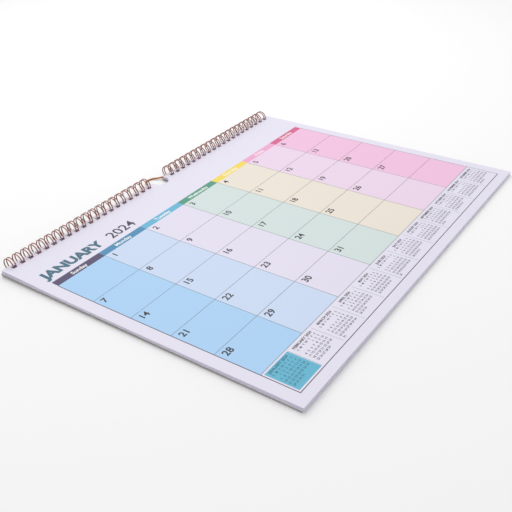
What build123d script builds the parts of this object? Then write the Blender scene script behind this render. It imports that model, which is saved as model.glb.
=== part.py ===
from build123d import *

import os
from math import asin, atan2, cos, degrees, hypot, pi, sin, sqrt

# Wall calendar, lying on its back with its month pages up.
# Twelve month leaves and a stiff backing board are punched along one long edge and held
# by two lengths of twin-loop wire. A bent wire hanger runs inside the loops, and its hump
# shows at a thumb notch in the middle of the punched edge.
#
# +X runs along the punched edge, +Y points from the free edge to the punched edge and +Z is up.
# The origin is the centre of the whole object's footprint, on the surface it lies on.
# Inside the loops, heights are given as drops below the loops' common axis.

# ---------------------------------------------------------------- driving dimensions (mm)
sheet_width = 374.65        # along the punched edge, 14 3/4 in
sheet_height = 292.1        # from punched edge to free edge, 11 1/2 in
leaf_count = 12             # one leaf for each month
leaf_pitch = 0.23           # leaf thickness with the air between two leaves
board_thickness = 1.0       # grey chipboard

hole_size = 4.0             # square punched hole
hole_pitch = 25.4 / 3       # three holes to the inch
hole_inset = 4.5            # hole centre to the punched edge
loops_per_side = 20
loops_left_out = 3          # hole places with no hole, at the notch
notch_width = 17.0
notch_depth = 12.5

wire_diameter = 0.95        # twin-loop wire
loop_bore = 11.1            # inside diameter of the closed loops, 7/16 in
pair_spacing = 2.6          # between the two wires of one loop
seam_gap = 1.3              # from the loops' tips to the bars that join the loops, centre to centre
bend_radius = 1.0           # where a loop wire turns into a bar
end_stub = 1.0              # straight bar left at each cut end

hanger_diameter = 1.6
hanger_length = 200.0
hump_width = 31.0           # foot to foot along the hanger
hump_height = 11.0          # centre line, above the arms
crown_radius = 7.0

seat_clearance = 0.1        # between the loops and what lies inside them

# ---------------------------------------------------------------- sizes worked out from these
block_thickness = leaf_count * leaf_pitch
strip_width = hole_inset - hole_size / 2
wire_radius = wire_diameter / 2
loop_radius = loop_bore / 2 + wire_radius
bore_radius = loop_bore / 2
outer_radius = loop_bore / 2 + wire_diameter
half_pair = pair_spacing / 2
hanger_radius = hanger_diameter / 2


def chord(radius, drop):
    """Distance from the loops' middle plane to a circle about their axis, at a drop below it."""
    return sqrt(radius**2 - drop**2)


def hole_middle(lower_drop, upper_drop):
    """Middle of the slanting stretch of loop between two drops, as a distance from the axis."""
    return (chord(bore_radius, lower_drop) + chord(outer_radius, upper_drop)) / 2


# The board's punched strip lies in the bottom of the loops and touches them at its corners.
level_seat = chord(bore_radius - seat_clearance, strip_width / 2)
board_hole_y = -hole_middle(level_seat, level_seat - board_thickness)
board_edge_y = board_hole_y + hole_inset
strip_reach = max(board_edge_y, strip_width - board_edge_y)
board_drop = chord(bore_radius - seat_clearance, strip_reach)

# The leaves lie on the board, pushed back along the loops by their slant.
block_drop = board_drop - board_thickness
block_hole_y = -hole_middle(block_drop, block_drop - block_thickness)
block_edge_y = block_hole_y + hole_inset

# The seam of the loops is at their lowest point: tips on one side of it, bars on the other.
tip_start = 2 * pi - (seam_gap / 2 + half_pair) / loop_radius
bar_start = (seam_gap / 2 + bend_radius) / loop_radius
tip_drop = hypot(loop_radius, half_pair) * cos(tip_start + atan2(half_pair, loop_radius))
bar_drop = hypot(loop_radius, bend_radius) * cos(bar_start - atan2(bend_radius, loop_radius))
axis_height = max(tip_drop, bar_drop) + wire_radius

# The stack slopes down from the loops to its free edge, which rests on the surface.
board_free_y = board_edge_y - sheet_height
block_free_y = block_edge_y - sheet_height
stack_slope = asin((axis_height - board_drop) / -board_free_y)

# The hanger's arms lie in the loops beside the board's edge, and its hump rests on the surface.
arm_y = board_edge_y + seat_clearance + hanger_radius
arm_drop = chord(bore_radius - hanger_radius - seat_clearance, arm_y)
hump_slope = asin((axis_height - arm_drop - hanger_radius) / hump_height)
hump_reach_y = arm_y + hump_height * cos(hump_slope) + hanger_radius

# Loops' axis: the footprint's front is the leaves' free edge and its back is the hump.
front_reach = -block_free_y * cos(stack_slope) + block_drop * sin(stack_slope)
back_reach = max(hump_reach_y, outer_radius)
axis_y = (front_reach - back_reach) / 2

# ---------------------------------------------------------------- places
row_length = (loops_per_side - 1) * hole_pitch
row_middle_x = (loops_left_out + 1) * hole_pitch / 2 + row_length / 2
tilt = Plane((0, axis_y, axis_height), x_dir=(1, 0, 0), z_dir=(0, -sin(stack_slope), cos(stack_slope)))


def stack_plane(drop):
    """Plane of the sloping stack at a drop below the loops' axis."""
    return tilt.offset(-drop)


def loop_point(x, angle, along=0.0):
    """Point on a loop's centre line, its angle counted from the lowest point towards the pages.

    along goes on from there in a straight line, the way that the angle grows.
    """
    return (
        x,
        axis_y - loop_radius * sin(angle) - along * cos(angle),
        axis_height - loop_radius * cos(angle) + along * sin(angle),
    )


def punched_sheet(edge_y, hole_y):
    """Outline of a leaf or the board, with its two rows of holes and its thumb notch."""
    with Locations((0, edge_y)):
        Rectangle(sheet_width, sheet_height, align=(Align.CENTER, Align.MAX))
    for side in (-1, 1):
        with Locations((side * row_middle_x, hole_y)):
            with GridLocations(hole_pitch, 0, loops_per_side, 1):
                Rectangle(hole_size, hole_size, mode=Mode.SUBTRACT)
    notch_middle_y = edge_y - notch_depth + notch_width / 2
    with Locations((0, notch_middle_y)):
        Circle(notch_width / 2, mode=Mode.SUBTRACT)
        Rectangle(notch_width, notch_depth, align=(Align.CENTER, Align.MIN), mode=Mode.SUBTRACT)


def loop_wire_path(row_x):
    """Centre line of one length of twin-loop wire: loops joined by bars, in one run."""
    quarter = bend_radius / sqrt(2)
    first_x = row_x - row_length / 2
    start_x = first_x - half_pair - bend_radius - end_stub
    position = loop_point(start_x, bar_start, -bend_radius)
    for number in range(loops_per_side):
        x = first_x + number * hole_pitch
        left = x - half_pair
        right = x + half_pair
        bar_end = loop_point(left - bend_radius, bar_start, -bend_radius)
        Line(position, bar_end)
        ThreePointArc(
            bar_end,
            loop_point(left - bend_radius + quarter, bar_start, -quarter),
            loop_point(left, bar_start),
        )
        ThreePointArc(loop_point(left, bar_start), loop_point(left, pi), loop_point(left, tip_start))
        ThreePointArc(
            loop_point(left, tip_start),
            loop_point(x, tip_start, half_pair),
            loop_point(right, tip_start),
        )
        ThreePointArc(loop_point(right, tip_start), loop_point(right, pi), loop_point(right, bar_start))
        position = loop_point(right + bend_radius, bar_start, -bend_radius)
        ThreePointArc(
            loop_point(right, bar_start),
            loop_point(right + bend_radius - quarter, bar_start, -quarter),
            position,
        )
    Line(position, loop_point(right + bend_radius + end_stub, bar_start, -bend_radius))


# ---------------------------------------------------------------- page block
with BuildPart() as page_block:
    with BuildSketch(stack_plane(block_drop)):
        punched_sheet(block_edge_y, block_hole_y)
    extrude(amount=block_thickness)

# ---------------------------------------------------------------- backing board
with BuildPart() as backing_board:
    with BuildSketch(stack_plane(board_drop)):
        punched_sheet(board_edge_y, board_hole_y)
    extrude(amount=board_thickness)

# ---------------------------------------------------------------- twin-loop wires
with BuildPart() as wire_left:
    with BuildLine() as left_path:
        loop_wire_path(-row_middle_x)
    with BuildSketch(Plane(left_path.line @ 0, z_dir=(1, 0, 0))):
        Circle(wire_radius)
    sweep(path=left_path.line)

with BuildPart() as wire_right:
    with BuildLine() as right_path:
        loop_wire_path(row_middle_x)
    with BuildSketch(Plane(right_path.line @ 0, z_dir=(1, 0, 0))):
        Circle(wire_radius)
    sweep(path=right_path.line)

# ---------------------------------------------------------------- hanger
# The hump is a crown arc between two foot arcs that run out tangent to the arms.
foot_x = hump_width / 2
foot_radius = (foot_x**2 + hump_height**2) / (2 * hump_height) - crown_radius
crown_share = crown_radius / (crown_radius + foot_radius)
flank = atan2(foot_x, foot_radius + crown_radius - hump_height)
joint_x = foot_x * crown_share
joint_y = hump_height - crown_radius * (1 - cos(flank))
foot_mid_x = foot_x - foot_radius * sin(flank / 2)
foot_mid_y = foot_radius * (1 - cos(flank / 2))
hanger_plane = Plane(
    (0, axis_y + arm_y, axis_height - arm_drop),
    x_dir=(1, 0, 0),
    z_dir=(0, sin(hump_slope), cos(hump_slope)),
)

with BuildPart() as hanger:
    with BuildLine(hanger_plane) as hanger_path:
        Line((-hanger_length / 2, 0), (-foot_x, 0))
        ThreePointArc((-foot_x, 0), (-foot_mid_x, foot_mid_y), (-joint_x, joint_y))
        ThreePointArc((-joint_x, joint_y), (0, hump_height), (joint_x, joint_y))
        ThreePointArc((joint_x, joint_y), (foot_mid_x, foot_mid_y), (foot_x, 0))
        Line((foot_x, 0), (hanger_length / 2, 0))
    with BuildSketch(Plane(hanger_path.line @ 0, z_dir=(1, 0, 0))):
        Circle(hanger_radius)
    sweep(path=hanger_path.line)

# ---------------------------------------------------------------- write the pieces
page_block.part.label = "page_block"
backing_board.part.label = "backing_board"
wire_left.part.label = "wire_left"
wire_right.part.label = "wire_right"
hanger.part.label = "hanger"

os.makedirs("parts", exist_ok=True)
export_step(page_block.part, "parts/page_block.step")
export_step(backing_board.part, "parts/backing_board.step")
export_step(wire_left.part, "parts/wire_left.step")
export_step(wire_right.part, "parts/wire_right.step")
export_step(hanger.part, "parts/hanger.step")

print("loops' axis: y", round(axis_y, 4), "z", round(axis_height, 4))
print("stack slope", round(degrees(stack_slope), 4), "board drop", round(board_drop, 4))
print("leaves' edge", round(block_edge_y, 3), "board edge", round(board_edge_y, 3))
print("hanger arms: y", round(axis_y + arm_y, 4), "z", round(axis_height - arm_drop, 4))
print("hump slope", round(degrees(hump_slope), 3), "foot radius", round(foot_radius, 3))
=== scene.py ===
import random
from math import atan2, cos, exp, pi, radians, sin

import bmesh
import bpy
from bpy.props import FloatProperty, FloatVectorProperty, IntProperty, PointerProperty
from mathutils import Matrix, Vector


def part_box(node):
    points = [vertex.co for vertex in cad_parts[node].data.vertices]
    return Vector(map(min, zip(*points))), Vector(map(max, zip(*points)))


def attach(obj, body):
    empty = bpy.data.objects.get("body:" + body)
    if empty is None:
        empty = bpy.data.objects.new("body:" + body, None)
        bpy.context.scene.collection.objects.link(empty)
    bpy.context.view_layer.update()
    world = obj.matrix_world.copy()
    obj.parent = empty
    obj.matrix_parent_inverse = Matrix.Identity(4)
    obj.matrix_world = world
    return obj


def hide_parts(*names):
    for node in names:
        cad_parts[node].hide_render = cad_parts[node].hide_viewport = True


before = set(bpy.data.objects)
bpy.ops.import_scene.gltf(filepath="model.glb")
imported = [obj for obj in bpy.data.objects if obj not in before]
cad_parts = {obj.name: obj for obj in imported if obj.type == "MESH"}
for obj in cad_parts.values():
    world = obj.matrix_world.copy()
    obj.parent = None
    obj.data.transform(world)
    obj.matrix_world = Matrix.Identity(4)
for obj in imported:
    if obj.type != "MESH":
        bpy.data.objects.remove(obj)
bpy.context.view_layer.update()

bl_info = {
    "name": "Month Planner Wall Calendar",
    "version": (1, 0, 0),
    "blender": (4, 5, 0),
    "location": "View3D > Sidebar > Calendar",
    "description": "Leaves, print, board, twin-loop wires and hanger of a wall calendar",
    "category": "Object",
}

MM = 0.001
WEEKDAYS = ("Sunday", "Monday", "Tuesday", "Wednesday", "Thursday", "Friday", "Saturday")
MONTHS = (
    ("JANUARY", 31), ("FEBRUARY", 29), ("MARCH", 31), ("APRIL", 30), ("MAY", 31), ("JUNE", 30),
    ("JULY", 31), ("AUGUST", 31), ("SEPTEMBER", 30), ("OCTOBER", 31), ("NOVEMBER", 30), ("DECEMBER", 31),
)
YEAR = 2024
FIRST_WEEKDAY = 1           # 1 January falls on a Monday, counted from Sunday


def tone(code):
    """A screen colour such as 'E6E2F5' as linear red, green and blue."""
    shares = [int(code[i:i + 2], 16) / 255 for i in (0, 2, 4)]
    return tuple(s / 12.92 if s <= 0.04045 else ((s + 0.055) / 1.055) ** 2.4 for s in shares)


# ------------------------------------------------------------------ sizes and colours to change
def length(name, text, millimetres):
    """A size of the flat page, which is drawn in millimetres and scaled when it is laid down."""
    return FloatProperty(name=name, description=text + ", in millimetres", default=millimetres)


def amount(name, text, value):
    """A plain number, such as a share or the weight of lettering."""
    return FloatProperty(name=name, description=text, default=value)


def angle(name, text, degrees):
    """An angle, given in degrees and held in radians."""
    return FloatProperty(name=name, description=text, default=radians(degrees), subtype="ANGLE")


def colour(name, text, code):
    """A colour, given as it looks on a screen."""
    return FloatVectorProperty(name=name, description=text, default=tone(code), size=3,
                               subtype="COLOR", min=0.0, max=1.0)


class CalendarSheetSettings(bpy.types.PropertyGroup):
    """Sizes of one leaf, how the leaves curl, and their card."""
    leaves: IntProperty(name="Leaves", description="One leaf for each month", default=12, min=1)
    thickness: length("Thickness", "Thickness of one leaf", 0.18)
    trim: length("Trim", "Play between the leaves' sides and the block's", 0.25)
    hole_size: length("Hole size", "Side of a square hole", 4.0)
    hole_inset: length("Hole inset", "Hole centre to the punched edge", 4.5)
    hole_pitch: length("Hole pitch", "Three holes to the inch", 25.4 / 3)
    loops: IntProperty(name="Loops", description="Holes on each side of the notch", default=20)
    left_out: IntProperty(name="Left out", description="Hole places skipped at the notch", default=3)
    notch_width: length("Notch width", "Width of the thumb notch", 17.0)
    notch_depth: length("Notch depth", "Depth of the thumb notch", 12.5)
    cell: length("Cell", "Side of the net's cells that a page bends along", 6.0)
    corner_lift: length("Corner lift", "How far the bound left corner curls up", 1.3)
    corner_along: length("Corner along", "Reach of that curl along the punched edge", 60)
    corner_down: length("Corner down", "Reach of that curl down the page", 45)
    free_lift: length("Free lift", "How far the loose left corner fans open", 0.9)
    free_along: length("Free along", "Reach of that fan along the free edge", 120)
    free_up: length("Free up", "Reach of that fan up the page", 90)
    stagger: amount("Stagger", "Share of the trim that a leaf may lie aside by", 0.8)
    paper: colour("Paper", "Coated card", "EAE6F6")


class CalendarPrintSettings(bpy.types.PropertyGroup):
    """The month's grid and headings, placed from the leaf's left edge and punched edge."""
    left: length("Left", "Left line of the grid", 10.7)
    right: length("Right", "Right line of the grid", 363.9)
    bar_top: length("Bar top", "Top of the weekday bars", 48.3)
    bar_bottom: length("Bar bottom", "Bottom of the weekday bars", 56.1)
    grid_bottom: length("Grid bottom", "Bottom of the last week", 251.6)
    strip_bottom: length("Strip bottom", "Bottom of the strip of months", 282.8)
    rows: IntProperty(name="Weeks", description="Weeks in the grid", default=5)
    thin_line: length("Thin line", "Width of a cell line", 0.42)
    bold_line: length("Frame line", "Width of the frame's dark lines", 0.7)
    ink: length("Ink", "Thickness of a layer of print", 0.015)
    title_size: length("Title size", "Height of the month's capitals", 10.6)
    title_gap: length("Title gap", "Between the title's base line and the bars", 6.2)
    title_inset: length("Title inset", "From the grid's left line to the month's name", 1.0)
    title_weight: amount("Title weight", "Boldness of the month's name", 0.05)
    year_left: length("Year left", "Left end of the year", 84.0)
    year_weight: amount("Year weight", "Boldness of the year", 0.012)
    weekday_size: length("Weekday size", "Height of the weekdays' capitals", 4.0)
    weekday_weight: amount("Weekday weight", "Boldness of the weekdays' names", 0.02)
    date_size: length("Date size", "Height of the date numbers", 6.0)
    date_weight: amount("Date weight", "Boldness of the date numbers", 0.022)
    date_left: length("Date left", "From a cell's left line to its number", 3.6)
    date_top: length("Date top", "From a cell's top line to its number", 3.0)
    title_colour: colour("Month", "Month's name", "34697F")
    weekday_colour: colour("Weekdays", "Weekdays' names", "FFFFFF")
    year_colour: colour("Year", "Year beside the month", "3C3752")
    number_colour: colour("Numbers", "Date numbers", "1E1A26")
    line_colour: colour("Lines", "Cell lines", "707A7C")
    frame_colour: colour("Frame", "Dark lines at the left and the bottom", "5A5364")


# The weekdays' bars and the tints of their columns, from Sunday on, as they look on a screen.
WEEKDAY_BARS = ("4A3E68", "3E8CB8", "62B8DC", "4A9A7E", "FBDF50", "F4ACD2", "DC5E92")
WEEKDAY_TINTS = ("AED6FB", "D0E0FA", "EAE4F6", "D8E6E4", "F1E8DA", "F3DAF1", "F8C6E6")


class CalendarStripSettings(bpy.types.PropertyGroup):
    """The strip of twelve small months. Places are counted from a small month's own lines."""
    box_left: length("Box left", "From the frame to the marked month's box", 1.6)
    box_right: length("Box right", "From the box to the next month", 0.6)
    box_margin: length("Box margin", "Above and below the box", 1.8)
    divider: length("Divider", "Width of a line between two months", 0.2)
    divider_margin: length("Divider margin", "Above and below such a line", 2.0)
    head_drop: length("Head drop", "From the strip's top to the name's base line", 5.0)
    head_size: length("Head size", "Height of the name's capitals", 2.3)
    head_weight: amount("Head weight", "Boldness of the name", 0.03)
    days_left: length("Days left", "From the month's left line to its days", 2.6)
    days_play: length("Days play", "Width that the seven columns leave free", 5.0)
    row_step: length("Row step", "From one row of days to the next", 3.3)
    letter_size: length("Letter size", "Height of the weekdays' letters", 1.8)
    day_size: length("Day size", "Height of the day numbers", 1.9)
    day_weight: amount("Day weight", "Boldness of the letters and numbers", 0.02)
    text_colour: colour("Small print", "Months of the strip", "4A4654")
    box_colour: colour("Box", "Fill behind the month that the page shows", "5CB8D6")
    marked_colour: colour("Marked month", "Print of the month that the page shows", "1E6E86")


class CalendarWireSettings(bpy.types.PropertyGroup):
    """Finishes of the board and the wires."""
    loop: colour("Loops", "Rose gold coating", "A4736C")
    hanger: colour("Hanger", "Copper coating", "B4764A")
    board: colour("Board", "Grey chipboard", "A5A29C")


class CalendarStageSettings(bpy.types.PropertyGroup):
    """Camera, lights and floor. The eye is placed from the page's left punched corner."""
    eye: FloatVectorProperty(name="Eye", description="Camera place, in millimetres", size=3,
                             default=(-265.8, -469.6, 324.4))
    azimuth: angle("Azimuth", "Camera bearing", -54.69)
    elevation: angle("Elevation", "Camera height over the page", 33.31)
    roll: angle("Roll", "Camera roll", -2.53)
    lens: FloatProperty(name="Lens", description="Focal length on a 36 mm sensor", default=50.6,
                        unit="CAMERA")
    shift: amount("Shift", "Sideways shift of the frame", -0.0525)
    sky: amount("Sky", "Strength of the even light", 0.72)
    backdrop: amount("Backdrop", "Strength of the even light where the camera sees it", 1.0)
    lamp: FloatProperty(name="Lamp", description="Power of the soft lamp", default=5.0, unit="POWER")
    lamp_size: FloatProperty(name="Lamp size", description="Width of the soft lamp", default=1.2,
                             subtype="DISTANCE")
    lamp_place: FloatVectorProperty(name="Lamp place", description="Middle of the soft lamp", size=3,
                                    default=(0.35, 0.5, 1.0), subtype="TRANSLATION")
    floor_reach: FloatProperty(name="Floor reach", description="From the floor's middle to its sides",
                               default=4.0, subtype="DISTANCE")
    floor: colour("Floor", "Pale floor", "FFFFFF")


# ------------------------------------------------------------------ places taken from the frame
class Stack:
    """The sloping stack: where its top is, and how a flat page is laid on it."""

    def __init__(self):
        low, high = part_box("page_block")
        upward = max(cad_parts["page_block"].data.polygons, key=lambda face: face.normal.z * face.area)
        self.slope = atan2(-upward.normal.y, upward.normal.z)
        self.width = (high.x - low.x) / MM
        self.half_width = self.width / 2
        depth = high.y - low.y
        rise = high.z - low.z
        self.thickness = (rise * cos(self.slope) - depth * sin(self.slope)) / MM
        self.height = (depth * cos(self.slope) - rise * sin(self.slope)) / MM
        top_edge_y = high.y - self.thickness * MM * sin(self.slope)
        self.place = Matrix.Translation((0, top_edge_y, high.z)) @ Matrix.Rotation(self.slope, 4, "X")


STACK = Stack()


def curl(x, down, share, sheet):
    """Height that a leaf gains at a place on it; share is 0 for the lowest leaf and 1 for the top."""
    from_left = x + STACK.half_width
    from_free = STACK.height + down
    bound_corner = sheet.corner_lift * exp(-((from_left / sheet.corner_along) ** 2)
                                           - (down / sheet.corner_down) ** 2)
    free_corner = sheet.free_lift * exp(-((from_left / sheet.free_along) ** 2)
                                        - (from_free / sheet.free_up) ** 2)
    return share ** 2 * bound_corner + share * free_corner


def lay_on_stack(bm, share, sheet):
    """Bends a flat page in millimetres to its leaf's curl and lays it on the stack in metres."""
    for vert in bm.verts:
        vert.co.z += curl(vert.co.x, vert.co.y, share, sheet)
    bmesh.ops.scale(bm, vec=(MM, MM, MM), verts=bm.verts)
    bmesh.ops.transform(bm, matrix=STACK.place, verts=bm.verts)


def cut_into_cells(bm, cell):
    """Cuts a flat page along a square net, so that it can bend."""
    steps_across = int(STACK.width / cell)
    steps_down = int(STACK.height / cell)
    cuts = [((STACK.width * (i / steps_across - 0.5), 0, 0), (1, 0, 0)) for i in range(1, steps_across)]
    cuts += [((0, -STACK.height * i / steps_down, 0), (0, 1, 0)) for i in range(1, steps_down)]
    for point, normal in cuts:
        bmesh.ops.bisect_plane(bm, geom=bm.verts[:] + bm.edges[:] + bm.faces[:], dist=1e-5,
                               plane_co=point, plane_no=normal)


def finish_piece(bm, name, body, material):
    """Turns a mesh into a named piece that rides on a body and has its material."""
    mesh = bpy.data.meshes.new(name)
    bm.to_mesh(mesh)
    bm.free()
    piece = bpy.data.objects.new(name, mesh)
    bpy.context.scene.collection.objects.link(piece)
    piece.data.materials.append(material)
    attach(piece, body)
    return piece


# ------------------------------------------------------------------ shader maths
class Num:
    """A shader socket that can be used in sums."""

    def __init__(self, shader, socket):
        self.shader = shader
        self.socket = socket

    def _math(self, operation, first, second):
        return self.shader.node("ShaderNodeMath", {"operation": operation}, first, second)

    def __add__(self, other):
        return self._math("ADD", self, other)

    def __radd__(self, other):
        return self._math("ADD", other, self)

    def __mul__(self, other):
        return self._math("MULTIPLY", self, other)

    def __rmul__(self, other):
        return self._math("MULTIPLY", other, self)


class Finish:
    """A material whose nodes are added by one method."""

    def __init__(self, name):
        self.material = bpy.data.materials.new(name)
        self.material.use_nodes = True
        self.nodes = self.material.node_tree.nodes
        self.links = self.material.node_tree.links
        self.surface = self.nodes["Principled BSDF"]

    def node(self, kind, settings, *values, out=0, **named):
        """Adds a node: its settings first, then its sockets' values or links in order or by name."""
        made = self.nodes.new(kind)
        for key, value in settings.items():
            setattr(made, key, value)
        for key, value in list(enumerate(values)) + [(k.replace("_", " "), v) for k, v in named.items()]:
            self.feed(made.inputs[key], value)
        return Num(self, made.outputs[out])

    def feed(self, socket, value):
        """Links a socket to a Num, or sets it to a plain value."""
        if isinstance(value, Num):
            self.links.new(value.socket, socket)
        else:
            socket.default_value = value

    def place(self):
        return self.node("ShaderNodeTexCoord", {}, out="Object")

    def noise(self, scale, detail):
        return self.node("ShaderNodeTexNoise", {}, self.place(), Scale=scale, Detail=detail, out="Fac")

    def card_tooth(self):
        """The fine tooth of coated card, under the print too."""
        return self.noise(1800.0, 2.0)

    def blend(self, share, first, second, way="MIX"):
        """Mixes two colours; the mix node's colour sockets are its seventh and eighth."""
        made = self.nodes.new("ShaderNodeMix")
        made.data_type = "RGBA"
        made.blend_type = way
        for socket, value in ((0, share), (6, first), (7, second)):
            self.feed(made.inputs[socket], value)
        return Num(self, made.outputs[2])

    def bump(self, height, strength, distance):
        """A normal for a height; the distance is in metres."""
        return self.node("ShaderNodeBump", {}, Strength=strength, Distance=distance, Height=height)

    def set(self, **named):
        """Feeds the surface's own sockets and returns the finished material."""
        for key, value in named.items():
            self.feed(self.surface.inputs[key.replace("_", " ")], value)
        return self.material


def opaque(rgb, gain=1.0):
    """A colour made lighter or darker, with full cover."""
    return tuple(min(1.0, c * gain) for c in rgb) + (1.0,)


def paper_finish(sheet):
    """Coated card: faint cloudiness, a fine tooth and a soft sheen."""
    f = Finish("coated_card")
    cloud = f.noise(9.0, 4.0)
    tint = f.blend(cloud, opaque(sheet.paper, 0.97), opaque(sheet.paper, 1.02))
    tooth = f.card_tooth()
    return f.set(Base_Color=tint, Roughness=0.42 + 0.1 * tooth, Normal=f.bump(tooth, 0.12, 0.00002))


def ink_finish():
    """Offset print on card: each ink's own colour, a little uneven. All layers share it."""
    name = "offset_ink"
    if name in bpy.data.materials:
        return bpy.data.materials[name]
    f = Finish(name)
    ink = f.node("ShaderNodeAttribute", {"attribute_name": "ink"}, out="Color")
    grain = f.blend(f.noise(700.0, 2.0), opaque((0.95, 0.95, 0.95)), opaque((1, 1, 1)))
    tooth = f.card_tooth()
    return f.set(Base_Color=f.blend(1.0, ink, grain, "MULTIPLY"), Roughness=0.4 + 0.1 * tooth,
                 Normal=f.bump(tooth, 0.1, 0.00002))


def board_finish(wires):
    """Grey chipboard: pressed fibres and pale and dark specks."""
    f = Finish("grey_chipboard")
    fibre = f.node("ShaderNodeTexNoise", {},
                   f.node("ShaderNodeMapping", {}, f.place(), Scale=(260.0, 900.0, 600.0)),
                   Scale=1.0, Detail=4.0, out="Fac")
    speck = f.noise(2200.0, 1.0)
    base = f.blend(fibre, opaque(wires.board, 0.78), opaque(wires.board, 1.15))
    mixed = f.blend(speck * 0.35, base, opaque(wires.board, 0.55))
    return f.set(Base_Color=mixed, Roughness=0.85, Normal=f.bump(fibre + speck * 0.5, 0.4, 0.00008))


def wire_finish(name, rgb, roughness):
    """Coated steel wire: a metal colour that varies a little, with fine drawing marks."""
    f = Finish(name)
    marks = f.noise(900.0, 3.0)
    cloud = f.noise(60.0, 2.0)
    tint = f.blend(cloud, opaque(rgb, 0.85), opaque(rgb, 1.1))
    return f.set(Base_Color=tint, Metallic=1.0, Roughness=roughness + 0.12 * marks,
                 Normal=f.bump(marks, 0.15, 0.00002))


# ------------------------------------------------------------------ leaves
def flat_outline(points, curve):
    """Adds a closed outline of straight runs to a flat curve."""
    spline = curve.splines.new("POLY")
    spline.points.add(len(points) - 1)
    for knot, (x, y) in zip(spline.points, points):
        knot.co = (x, y, 0, 1)
    spline.use_cyclic_u = True


def flat_leaf(sheet):
    """One leaf, flat in millimetres: its punched edge is on y = 0 and its top face on z = 0."""
    half = STACK.half_width - sheet.trim
    radius = sheet.notch_width / 2
    notch_y = -sheet.notch_depth + radius
    round_steps = 24
    notch = [(radius * cos(pi + pi * i / round_steps), notch_y + radius * sin(pi + pi * i / round_steps))
             for i in range(round_steps + 1)]
    edge_y = -sheet.trim / 2
    free_y = -STACK.height + sheet.trim / 2
    outline = [(-half, free_y), (-half, edge_y), (-radius, edge_y), *notch, (radius, edge_y),
               (half, edge_y), (half, free_y)]
    curve = bpy.data.curves.new("leaf_outline", "CURVE")
    curve.dimensions = "2D"
    curve.fill_mode = "BOTH"
    curve.extrude = sheet.thickness / 2
    flat_outline(outline, curve)
    side = sheet.hole_size / 2
    for hand in (-1, 1):
        for number in range(sheet.loops):
            x = hand * ((sheet.left_out + 1) / 2 + number) * sheet.hole_pitch
            y = -sheet.hole_inset
            flat_outline([(x - side, y - side), (x - side, y + side), (x + side, y + side),
                          (x + side, y - side)], curve)
    shape = bpy.data.objects.new("leaf_outline", curve)
    mesh = bpy.data.meshes.new_from_object(shape)
    bpy.data.objects.remove(shape)
    bm = bmesh.new()
    bm.from_mesh(mesh)
    bmesh.ops.remove_doubles(bm, verts=bm.verts, dist=0.001)
    bmesh.ops.translate(bm, vec=(0, 0, -sheet.thickness / 2), verts=bm.verts)
    bpy.data.meshes.remove(mesh)
    return bm


class CALENDAR_OT_leaves(bpy.types.Operator):
    """Make the twelve punched leaves"""
    bl_idname = "calendar.leaves"
    bl_label = "Leaves"

    def execute(self, context):
        sheet = context.scene.calendar_sheet
        finish = paper_finish(sheet)
        flat = flat_leaf(sheet)
        cut_into_cells(flat, sheet.cell)
        source = bpy.data.meshes.new("flat_leaf")
        flat.to_mesh(source)
        flat.free()
        chance = random.Random(12)
        pitch = (STACK.thickness - sheet.thickness) / (sheet.leaves - 1)
        for number in range(sheet.leaves):
            share = 1 - number / (sheet.leaves - 1)
            bm = bmesh.new()
            bm.from_mesh(source)
            sideways = 0.0 if number == 0 else chance.uniform(-sheet.stagger, sheet.stagger) * sheet.trim
            bmesh.ops.translate(bm, vec=(sideways, 0, -number * pitch), verts=bm.verts)
            lay_on_stack(bm, share, sheet)
            month = MONTHS[number % len(MONTHS)][0].lower()
            piece = finish_piece(bm, "leaf_" + month, "pages", finish)
            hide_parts("page_block")
        bpy.data.meshes.remove(source)
        return {"FINISHED"}


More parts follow.
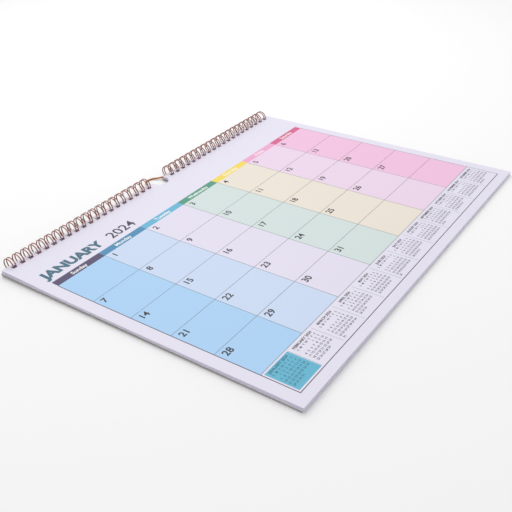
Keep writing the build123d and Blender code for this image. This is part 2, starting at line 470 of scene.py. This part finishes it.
# ------------------------------------------------------------------ print
class Print:
    """One layer of print on the top leaf, gathered flat and then laid on it."""

    def __init__(self, level):
        self.setting = bpy.context.scene.calendar_print
        self.sheet = bpy.context.scene.calendar_sheet
        self.bm = bmesh.new()
        self.inks = self.bm.loops.layers.float_color.new("ink")
        self.low = level * self.setting.ink
        self.glyphs = {}

    def x(self, from_left):
        """A distance from the leaf's left edge as a place on the flat page."""
        return from_left - STACK.half_width

    def _ink(self, first_face, rgb):
        """Colours the faces that were added last."""
        self.bm.faces.ensure_lookup_table()
        for face in self.bm.faces[first_face:]:
            for loop in face.loops:
                loop[self.inks] = opaque(rgb)

    def field(self, left, top, right, bottom, rgb):
        """A printed rectangle, given by its distances from the left and the punched edge."""
        first_face = len(self.bm.faces)
        middle = ((self.x(left) + self.x(right)) / 2, -(top + bottom) / 2, self.low + self.setting.ink / 2)
        size = Matrix.Diagonal((right - left, bottom - top, self.setting.ink, 1))
        bmesh.ops.create_cube(self.bm, size=1, matrix=Matrix.Translation(middle) @ size)
        self._ink(first_face, rgb)

    def letters(self, text, left, base, height, rgb, bold, fineness, align="LEFT"):
        """Lettering with its base line at a distance from the punched edge."""
        key = (text, align, bold, fineness)
        if key not in self.glyphs:
            self.glyphs[key] = self._glyph_mesh(*key)
        mesh, capital = self.glyphs[key]
        scale = height / capital
        first_face = len(self.bm.faces)
        first_vert = len(self.bm.verts)
        self.bm.from_mesh(mesh)
        self.bm.verts.ensure_lookup_table()
        verts = self.bm.verts[first_vert:]
        bmesh.ops.scale(self.bm, vec=(scale, scale, self.setting.ink), verts=verts)
        bmesh.ops.translate(self.bm, vec=(self.x(left), -base, self.low + self.setting.ink / 2), verts=verts)
        self._ink(first_face, rgb)

    def _glyph_mesh(self, text, align, bold, fineness):
        """Text as a closed mesh one unit thick, and the height of its font's capitals."""
        curve = bpy.data.curves.new("lettering", "FONT")
        curve.body = text
        curve.align_x = align
        curve.offset = bold
        curve.resolution_u = fineness
        curve.extrude = 0.5
        shape = bpy.data.objects.new("lettering", curve)
        mesh = bpy.data.meshes.new_from_object(shape)
        curve.body = "H"
        gauge = bpy.data.meshes.new_from_object(shape)
        capital = max(v.co.y for v in gauge.vertices)
        bpy.data.meshes.remove(gauge)
        bpy.data.objects.remove(shape)
        return mesh, capital

    def lay(self, name, cells=True):
        """Makes the layer a piece. Print that is small beside the net's cells isn't cut along it."""
        for mesh, _ in self.glyphs.values():
            bpy.data.meshes.remove(mesh)
        if cells:
            cut_into_cells(self.bm, self.sheet.cell)
        lay_on_stack(self.bm, 1.0, self.sheet)
        finish_piece(self.bm, name, "pages", ink_finish())


def columns(setting):
    """The grid's upright lines, as distances from the leaf's left edge."""
    width = (setting.right - setting.left) / len(WEEKDAYS)
    return [setting.left + width * i for i in range(len(WEEKDAYS) + 1)]


def row_tops(setting):
    """The grid's level lines, as distances from the punched edge."""
    height = (setting.grid_bottom - setting.bar_bottom) / setting.rows
    return [setting.bar_bottom + height * i for i in range(setting.rows + 1)]


class CALENDAR_OT_fields(bpy.types.Operator):
    """Print the weekday bars and the column tints"""
    bl_idname = "calendar.fields"
    bl_label = "Printed fields"

    def execute(self, context):
        setting = context.scene.calendar_print
        edges = columns(setting)
        tints = Print(0)
        bars = Print(0)
        for i in range(len(WEEKDAYS)):
            left, right = edges[i], edges[i + 1]
            tints.field(left, setting.bar_bottom, right, setting.grid_bottom, tone(WEEKDAY_TINTS[i]))
            bars.field(left, setting.bar_top, right, setting.bar_bottom, tone(WEEKDAY_BARS[i]))
        tints.lay("column_tints")
        bars.lay("weekday_bars")
        return {"FINISHED"}


class CALENDAR_OT_lines(bpy.types.Operator):
    """Print the cell lines and the frame's dark lines"""
    bl_idname = "calendar.lines"
    bl_label = "Printed lines"

    def execute(self, context):
        setting = context.scene.calendar_print
        thin = setting.thin_line / 2
        bold = setting.bold_line / 2
        lines = Print(1)
        for x in columns(setting)[1:-1]:
            lines.field(x - thin, setting.bar_bottom, x + thin, setting.grid_bottom, setting.line_colour)
        for y in row_tops(setting)[1:]:
            lines.field(setting.left, y - thin, setting.right, y + thin, setting.line_colour)
        lines.lay("cell_lines")
        outline = Print(2)
        outline.field(setting.left - bold, setting.bar_bottom, setting.left + bold,
                      setting.strip_bottom, setting.frame_colour)
        outline.field(setting.left - bold, setting.strip_bottom - bold, setting.right,
                      setting.strip_bottom + bold, setting.frame_colour)
        outline.field(setting.right - thin, setting.bar_bottom, setting.right + thin,
                      setting.strip_bottom + bold, setting.frame_colour)
        outline.lay("frame_lines")
        return {"FINISHED"}


class CALENDAR_OT_headings(bpy.types.Operator):
    """Print the month, the year and the weekdays' names"""
    bl_idname = "calendar.headings"
    bl_label = "Headings"

    def execute(self, context):
        setting = context.scene.calendar_print
        title = Print(0)
        base = setting.bar_top - setting.title_gap
        title.letters(MONTHS[0][0], setting.left + setting.title_inset, base, setting.title_size,
                      setting.title_colour, setting.title_weight, fineness=6)
        title.letters(str(YEAR), setting.year_left, base, setting.title_size,
                      setting.year_colour, setting.year_weight, fineness=6)
        title.lay("month_title")
        names = Print(1)
        edges = columns(setting)
        base = (setting.bar_top + setting.bar_bottom + setting.weekday_size) / 2
        for i, weekday in enumerate(WEEKDAYS):
            names.letters(weekday, (edges[i] + edges[i + 1]) / 2, base, setting.weekday_size,
                          setting.weekday_colour, setting.weekday_weight, fineness=4, align="CENTER")
        names.lay("weekday_names")
        return {"FINISHED"}


class CALENDAR_OT_dates(bpy.types.Operator):
    """Print the month's date numbers in their cells"""
    bl_idname = "calendar.dates"
    bl_label = "Date numbers"

    def execute(self, context):
        setting = context.scene.calendar_print
        edges = columns(setting)
        tops = row_tops(setting)
        dates = Print(2)
        for day in range(1, MONTHS[0][1] + 1):
            row, column = divmod(day - 1 + FIRST_WEEKDAY, len(WEEKDAYS))
            base = tops[row] + setting.date_top + setting.date_size
            dates.letters(str(day), edges[column] + setting.date_left, base, setting.date_size,
                          setting.number_colour, setting.date_weight, fineness=4)
        dates.lay("date_numbers")
        return {"FINISHED"}


class CALENDAR_OT_month_strip(bpy.types.Operator):
    """Print the year's twelve small months along the free edge"""
    bl_idname = "calendar.month_strip"
    bl_label = "Strip of months"

    def execute(self, context):
        setting = context.scene.calendar_print
        strip = context.scene.calendar_strip
        width = (setting.right - setting.left) / len(MONTHS)
        lefts = [setting.left + width * i for i in range(len(MONTHS))]
        self.mark_shown_month(setting, strip, lefts[0], width)
        self.draw_dividers(setting, strip, lefts[1:])
        small = Print(2)
        first = FIRST_WEEKDAY
        for left, (month, days) in zip(lefts, MONTHS):
            rgb = strip.marked_colour if month == MONTHS[0][0] else strip.text_colour
            self.print_month(small, setting, strip, left, width, month, days, first, rgb)
            first = (first + days) % len(WEEKDAYS)
        small.lay("small_months", cells=False)
        return {"FINISHED"}

    def mark_shown_month(self, setting, strip, left, width):
        box = Print(0)
        box.field(left + strip.box_left, setting.grid_bottom + strip.box_margin,
                  left + width - strip.box_right, setting.strip_bottom - strip.box_margin,
                  strip.box_colour)
        box.lay("marked_month")

    def draw_dividers(self, setting, strip, places):
        lines = Print(1)
        for x in places:
            lines.field(x - strip.divider / 2, setting.grid_bottom + strip.divider_margin,
                        x + strip.divider / 2, setting.strip_bottom - strip.divider_margin,
                        setting.line_colour)
        lines.lay("strip_lines")

    def print_month(self, small, setting, strip, left, width, month, days, first, rgb):
        """One small month: its name, the weekdays' letters and its days from the first weekday on."""
        base = setting.grid_bottom + strip.head_drop
        step = (width - strip.days_play) / len(WEEKDAYS)
        middles = [left + strip.days_left + step * (i + 0.5) for i in range(len(WEEKDAYS))]
        small.letters(month + " " + str(YEAR), left + width / 2, base, strip.head_size, rgb,
                      strip.head_weight, fineness=2, align="CENTER")
        base += strip.row_step
        for x, weekday in zip(middles, WEEKDAYS):
            small.letters(weekday[0], x, base, strip.letter_size, rgb,
                          strip.day_weight, fineness=1, align="CENTER")
        for day in range(1, days + 1):
            row, column = divmod(day - 1 + first, len(WEEKDAYS))
            small.letters(str(day), middles[column], base + strip.row_step * (row + 1), strip.day_size,
                          rgb, strip.day_weight, fineness=1, align="CENTER")


# ------------------------------------------------------------------ board, wires and hanger
def dress(node, material):
    """Gives a CAD piece its material."""
    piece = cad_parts[node]
    piece.data.materials.clear()
    piece.data.materials.append(material)


class CALENDAR_OT_board(bpy.types.Operator):
    """Give the backing board its chipboard finish"""
    bl_idname = "calendar.board"
    bl_label = "Backing board"

    def execute(self, context):
        dress("backing_board", board_finish(context.scene.calendar_wires))
        return {"FINISHED"}


class CALENDAR_OT_wires(bpy.types.Operator):
    """Give the twin-loop wires and the hanger their finishes"""
    bl_idname = "calendar.wires"
    bl_label = "Wires and hanger"

    def execute(self, context):
        wires = context.scene.calendar_wires
        loops = wire_finish("rose_gold_wire", wires.loop, 0.16)
        dress("wire_left", loops)
        dress("wire_right", loops)
        dress("hanger", wire_finish("copper_wire", wires.hanger, 0.2))
        return {"FINISHED"}


# ------------------------------------------------------------------ stage
class CALENDAR_OT_stage(bpy.types.Operator):
    """Set up the floor, the soft light and the camera"""
    bl_idname = "calendar.stage"
    bl_label = "Stage"

    def execute(self, context):
        stage = context.scene.calendar_stage
        self.make_floor(context, stage)
        self.make_light(context, stage)
        self.make_camera(context, stage)
        context.scene.view_settings.view_transform = "Standard"
        return {"FINISHED"}

    def make_floor(self, context, stage):
        bm = bmesh.new()
        bmesh.ops.create_grid(bm, x_segments=1, y_segments=1, size=stage.floor_reach)
        mesh = bpy.data.meshes.new("floor")
        bm.to_mesh(mesh)
        bm.free()
        floor = bpy.data.objects.new("floor", mesh)
        context.scene.collection.objects.link(floor)
        finish = Finish("pale_floor").set(Base_Color=opaque(stage.floor), Roughness=0.9)
        floor.data.materials.append(finish)

    def make_light(self, context, stage):
        world = bpy.data.worlds.new("studio")
        world.use_nodes = True
        context.scene.world = world
        nodes = world.node_tree.nodes
        links = world.node_tree.links
        background = nodes["Background"]
        path = nodes.new("ShaderNodeLightPath")
        strength = nodes.new("ShaderNodeMix")
        links.new(path.outputs["Is Camera Ray"], strength.inputs[0])
        strength.inputs[2].default_value = stage.sky
        strength.inputs[3].default_value = stage.backdrop
        links.new(strength.outputs[0], background.inputs["Strength"])
        background.inputs["Color"].default_value = (1, 1, 1, 1)
        lamp = bpy.data.lights.new("soft_lamp", "AREA")
        lamp.shape = "DISK"
        lamp.size = stage.lamp_size
        lamp.energy = stage.lamp
        holder = bpy.data.objects.new("soft_lamp", lamp)
        context.scene.collection.objects.link(holder)
        holder.location = stage.lamp_place
        holder.rotation_euler = (-holder.location).to_track_quat("-Z", "Y").to_euler()

    def make_camera(self, context, stage):
        view = bpy.data.cameras.new("camera")
        view.sensor_width = 36
        view.lens = stage.lens
        view.shift_x = stage.shift
        view.clip_start = 0.01
        camera = bpy.data.objects.new("camera", view)
        context.scene.collection.objects.link(camera)
        flat = cos(stage.elevation)
        back = Vector((sin(stage.azimuth) * flat, -cos(stage.azimuth) * flat, sin(stage.elevation)))
        level = Vector((cos(stage.azimuth), sin(stage.azimuth), 0))
        axes = Matrix((level, back.cross(level), back)).transposed().to_4x4()
        corner = Matrix.Translation((-STACK.half_width * MM, 0, 0))
        eye = Matrix.Translation(Vector(stage.eye) * MM)
        roll = Matrix.Rotation(stage.roll, 4, "Z")
        camera.matrix_world = STACK.place @ corner @ eye @ axes @ roll
        context.scene.camera = camera


# ------------------------------------------------------------------ add-on
class CALENDAR_PT_sidebar(bpy.types.Panel):
    """Lists the calendar's pieces"""
    bl_idname = "CALENDAR_PT_sidebar"
    bl_label = "Calendar"
    bl_space_type = "VIEW_3D"
    bl_region_type = "UI"
    bl_category = "Calendar"

    def draw(self, context):
        for operator in OPERATORS:
            self.layout.operator(operator.bl_idname)


SETTINGS = {
    "calendar_sheet": CalendarSheetSettings,
    "calendar_print": CalendarPrintSettings,
    "calendar_strip": CalendarStripSettings,
    "calendar_wires": CalendarWireSettings,
    "calendar_stage": CalendarStageSettings,
}
OPERATORS = (CALENDAR_OT_leaves, CALENDAR_OT_fields, CALENDAR_OT_lines, CALENDAR_OT_headings,
             CALENDAR_OT_dates, CALENDAR_OT_month_strip, CALENDAR_OT_board, CALENDAR_OT_wires,
             CALENDAR_OT_stage)


def register():
    for group in SETTINGS.values():
        bpy.utils.register_class(group)
    for name, group in SETTINGS.items():
        setattr(bpy.types.Scene, name, PointerProperty(type=group))
    for operator in OPERATORS:
        bpy.utils.register_class(operator)
    bpy.utils.register_class(CALENDAR_PT_sidebar)


def unregister():
    bpy.utils.unregister_class(CALENDAR_PT_sidebar)
    for operator in reversed(OPERATORS):
        bpy.utils.unregister_class(operator)
    for name in SETTINGS:
        delattr(bpy.types.Scene, name)
    for group in reversed(list(SETTINGS.values())):
        bpy.utils.unregister_class(group)


def main():
    register()
    bpy.ops.calendar.leaves()
    bpy.ops.calendar.fields()
    bpy.ops.calendar.lines()
    bpy.ops.calendar.headings()
    bpy.ops.calendar.dates()
    bpy.ops.calendar.month_strip()
    bpy.ops.calendar.board()
    bpy.ops.calendar.wires()
    bpy.ops.calendar.stage()


if __name__ == "__main__":
    main()
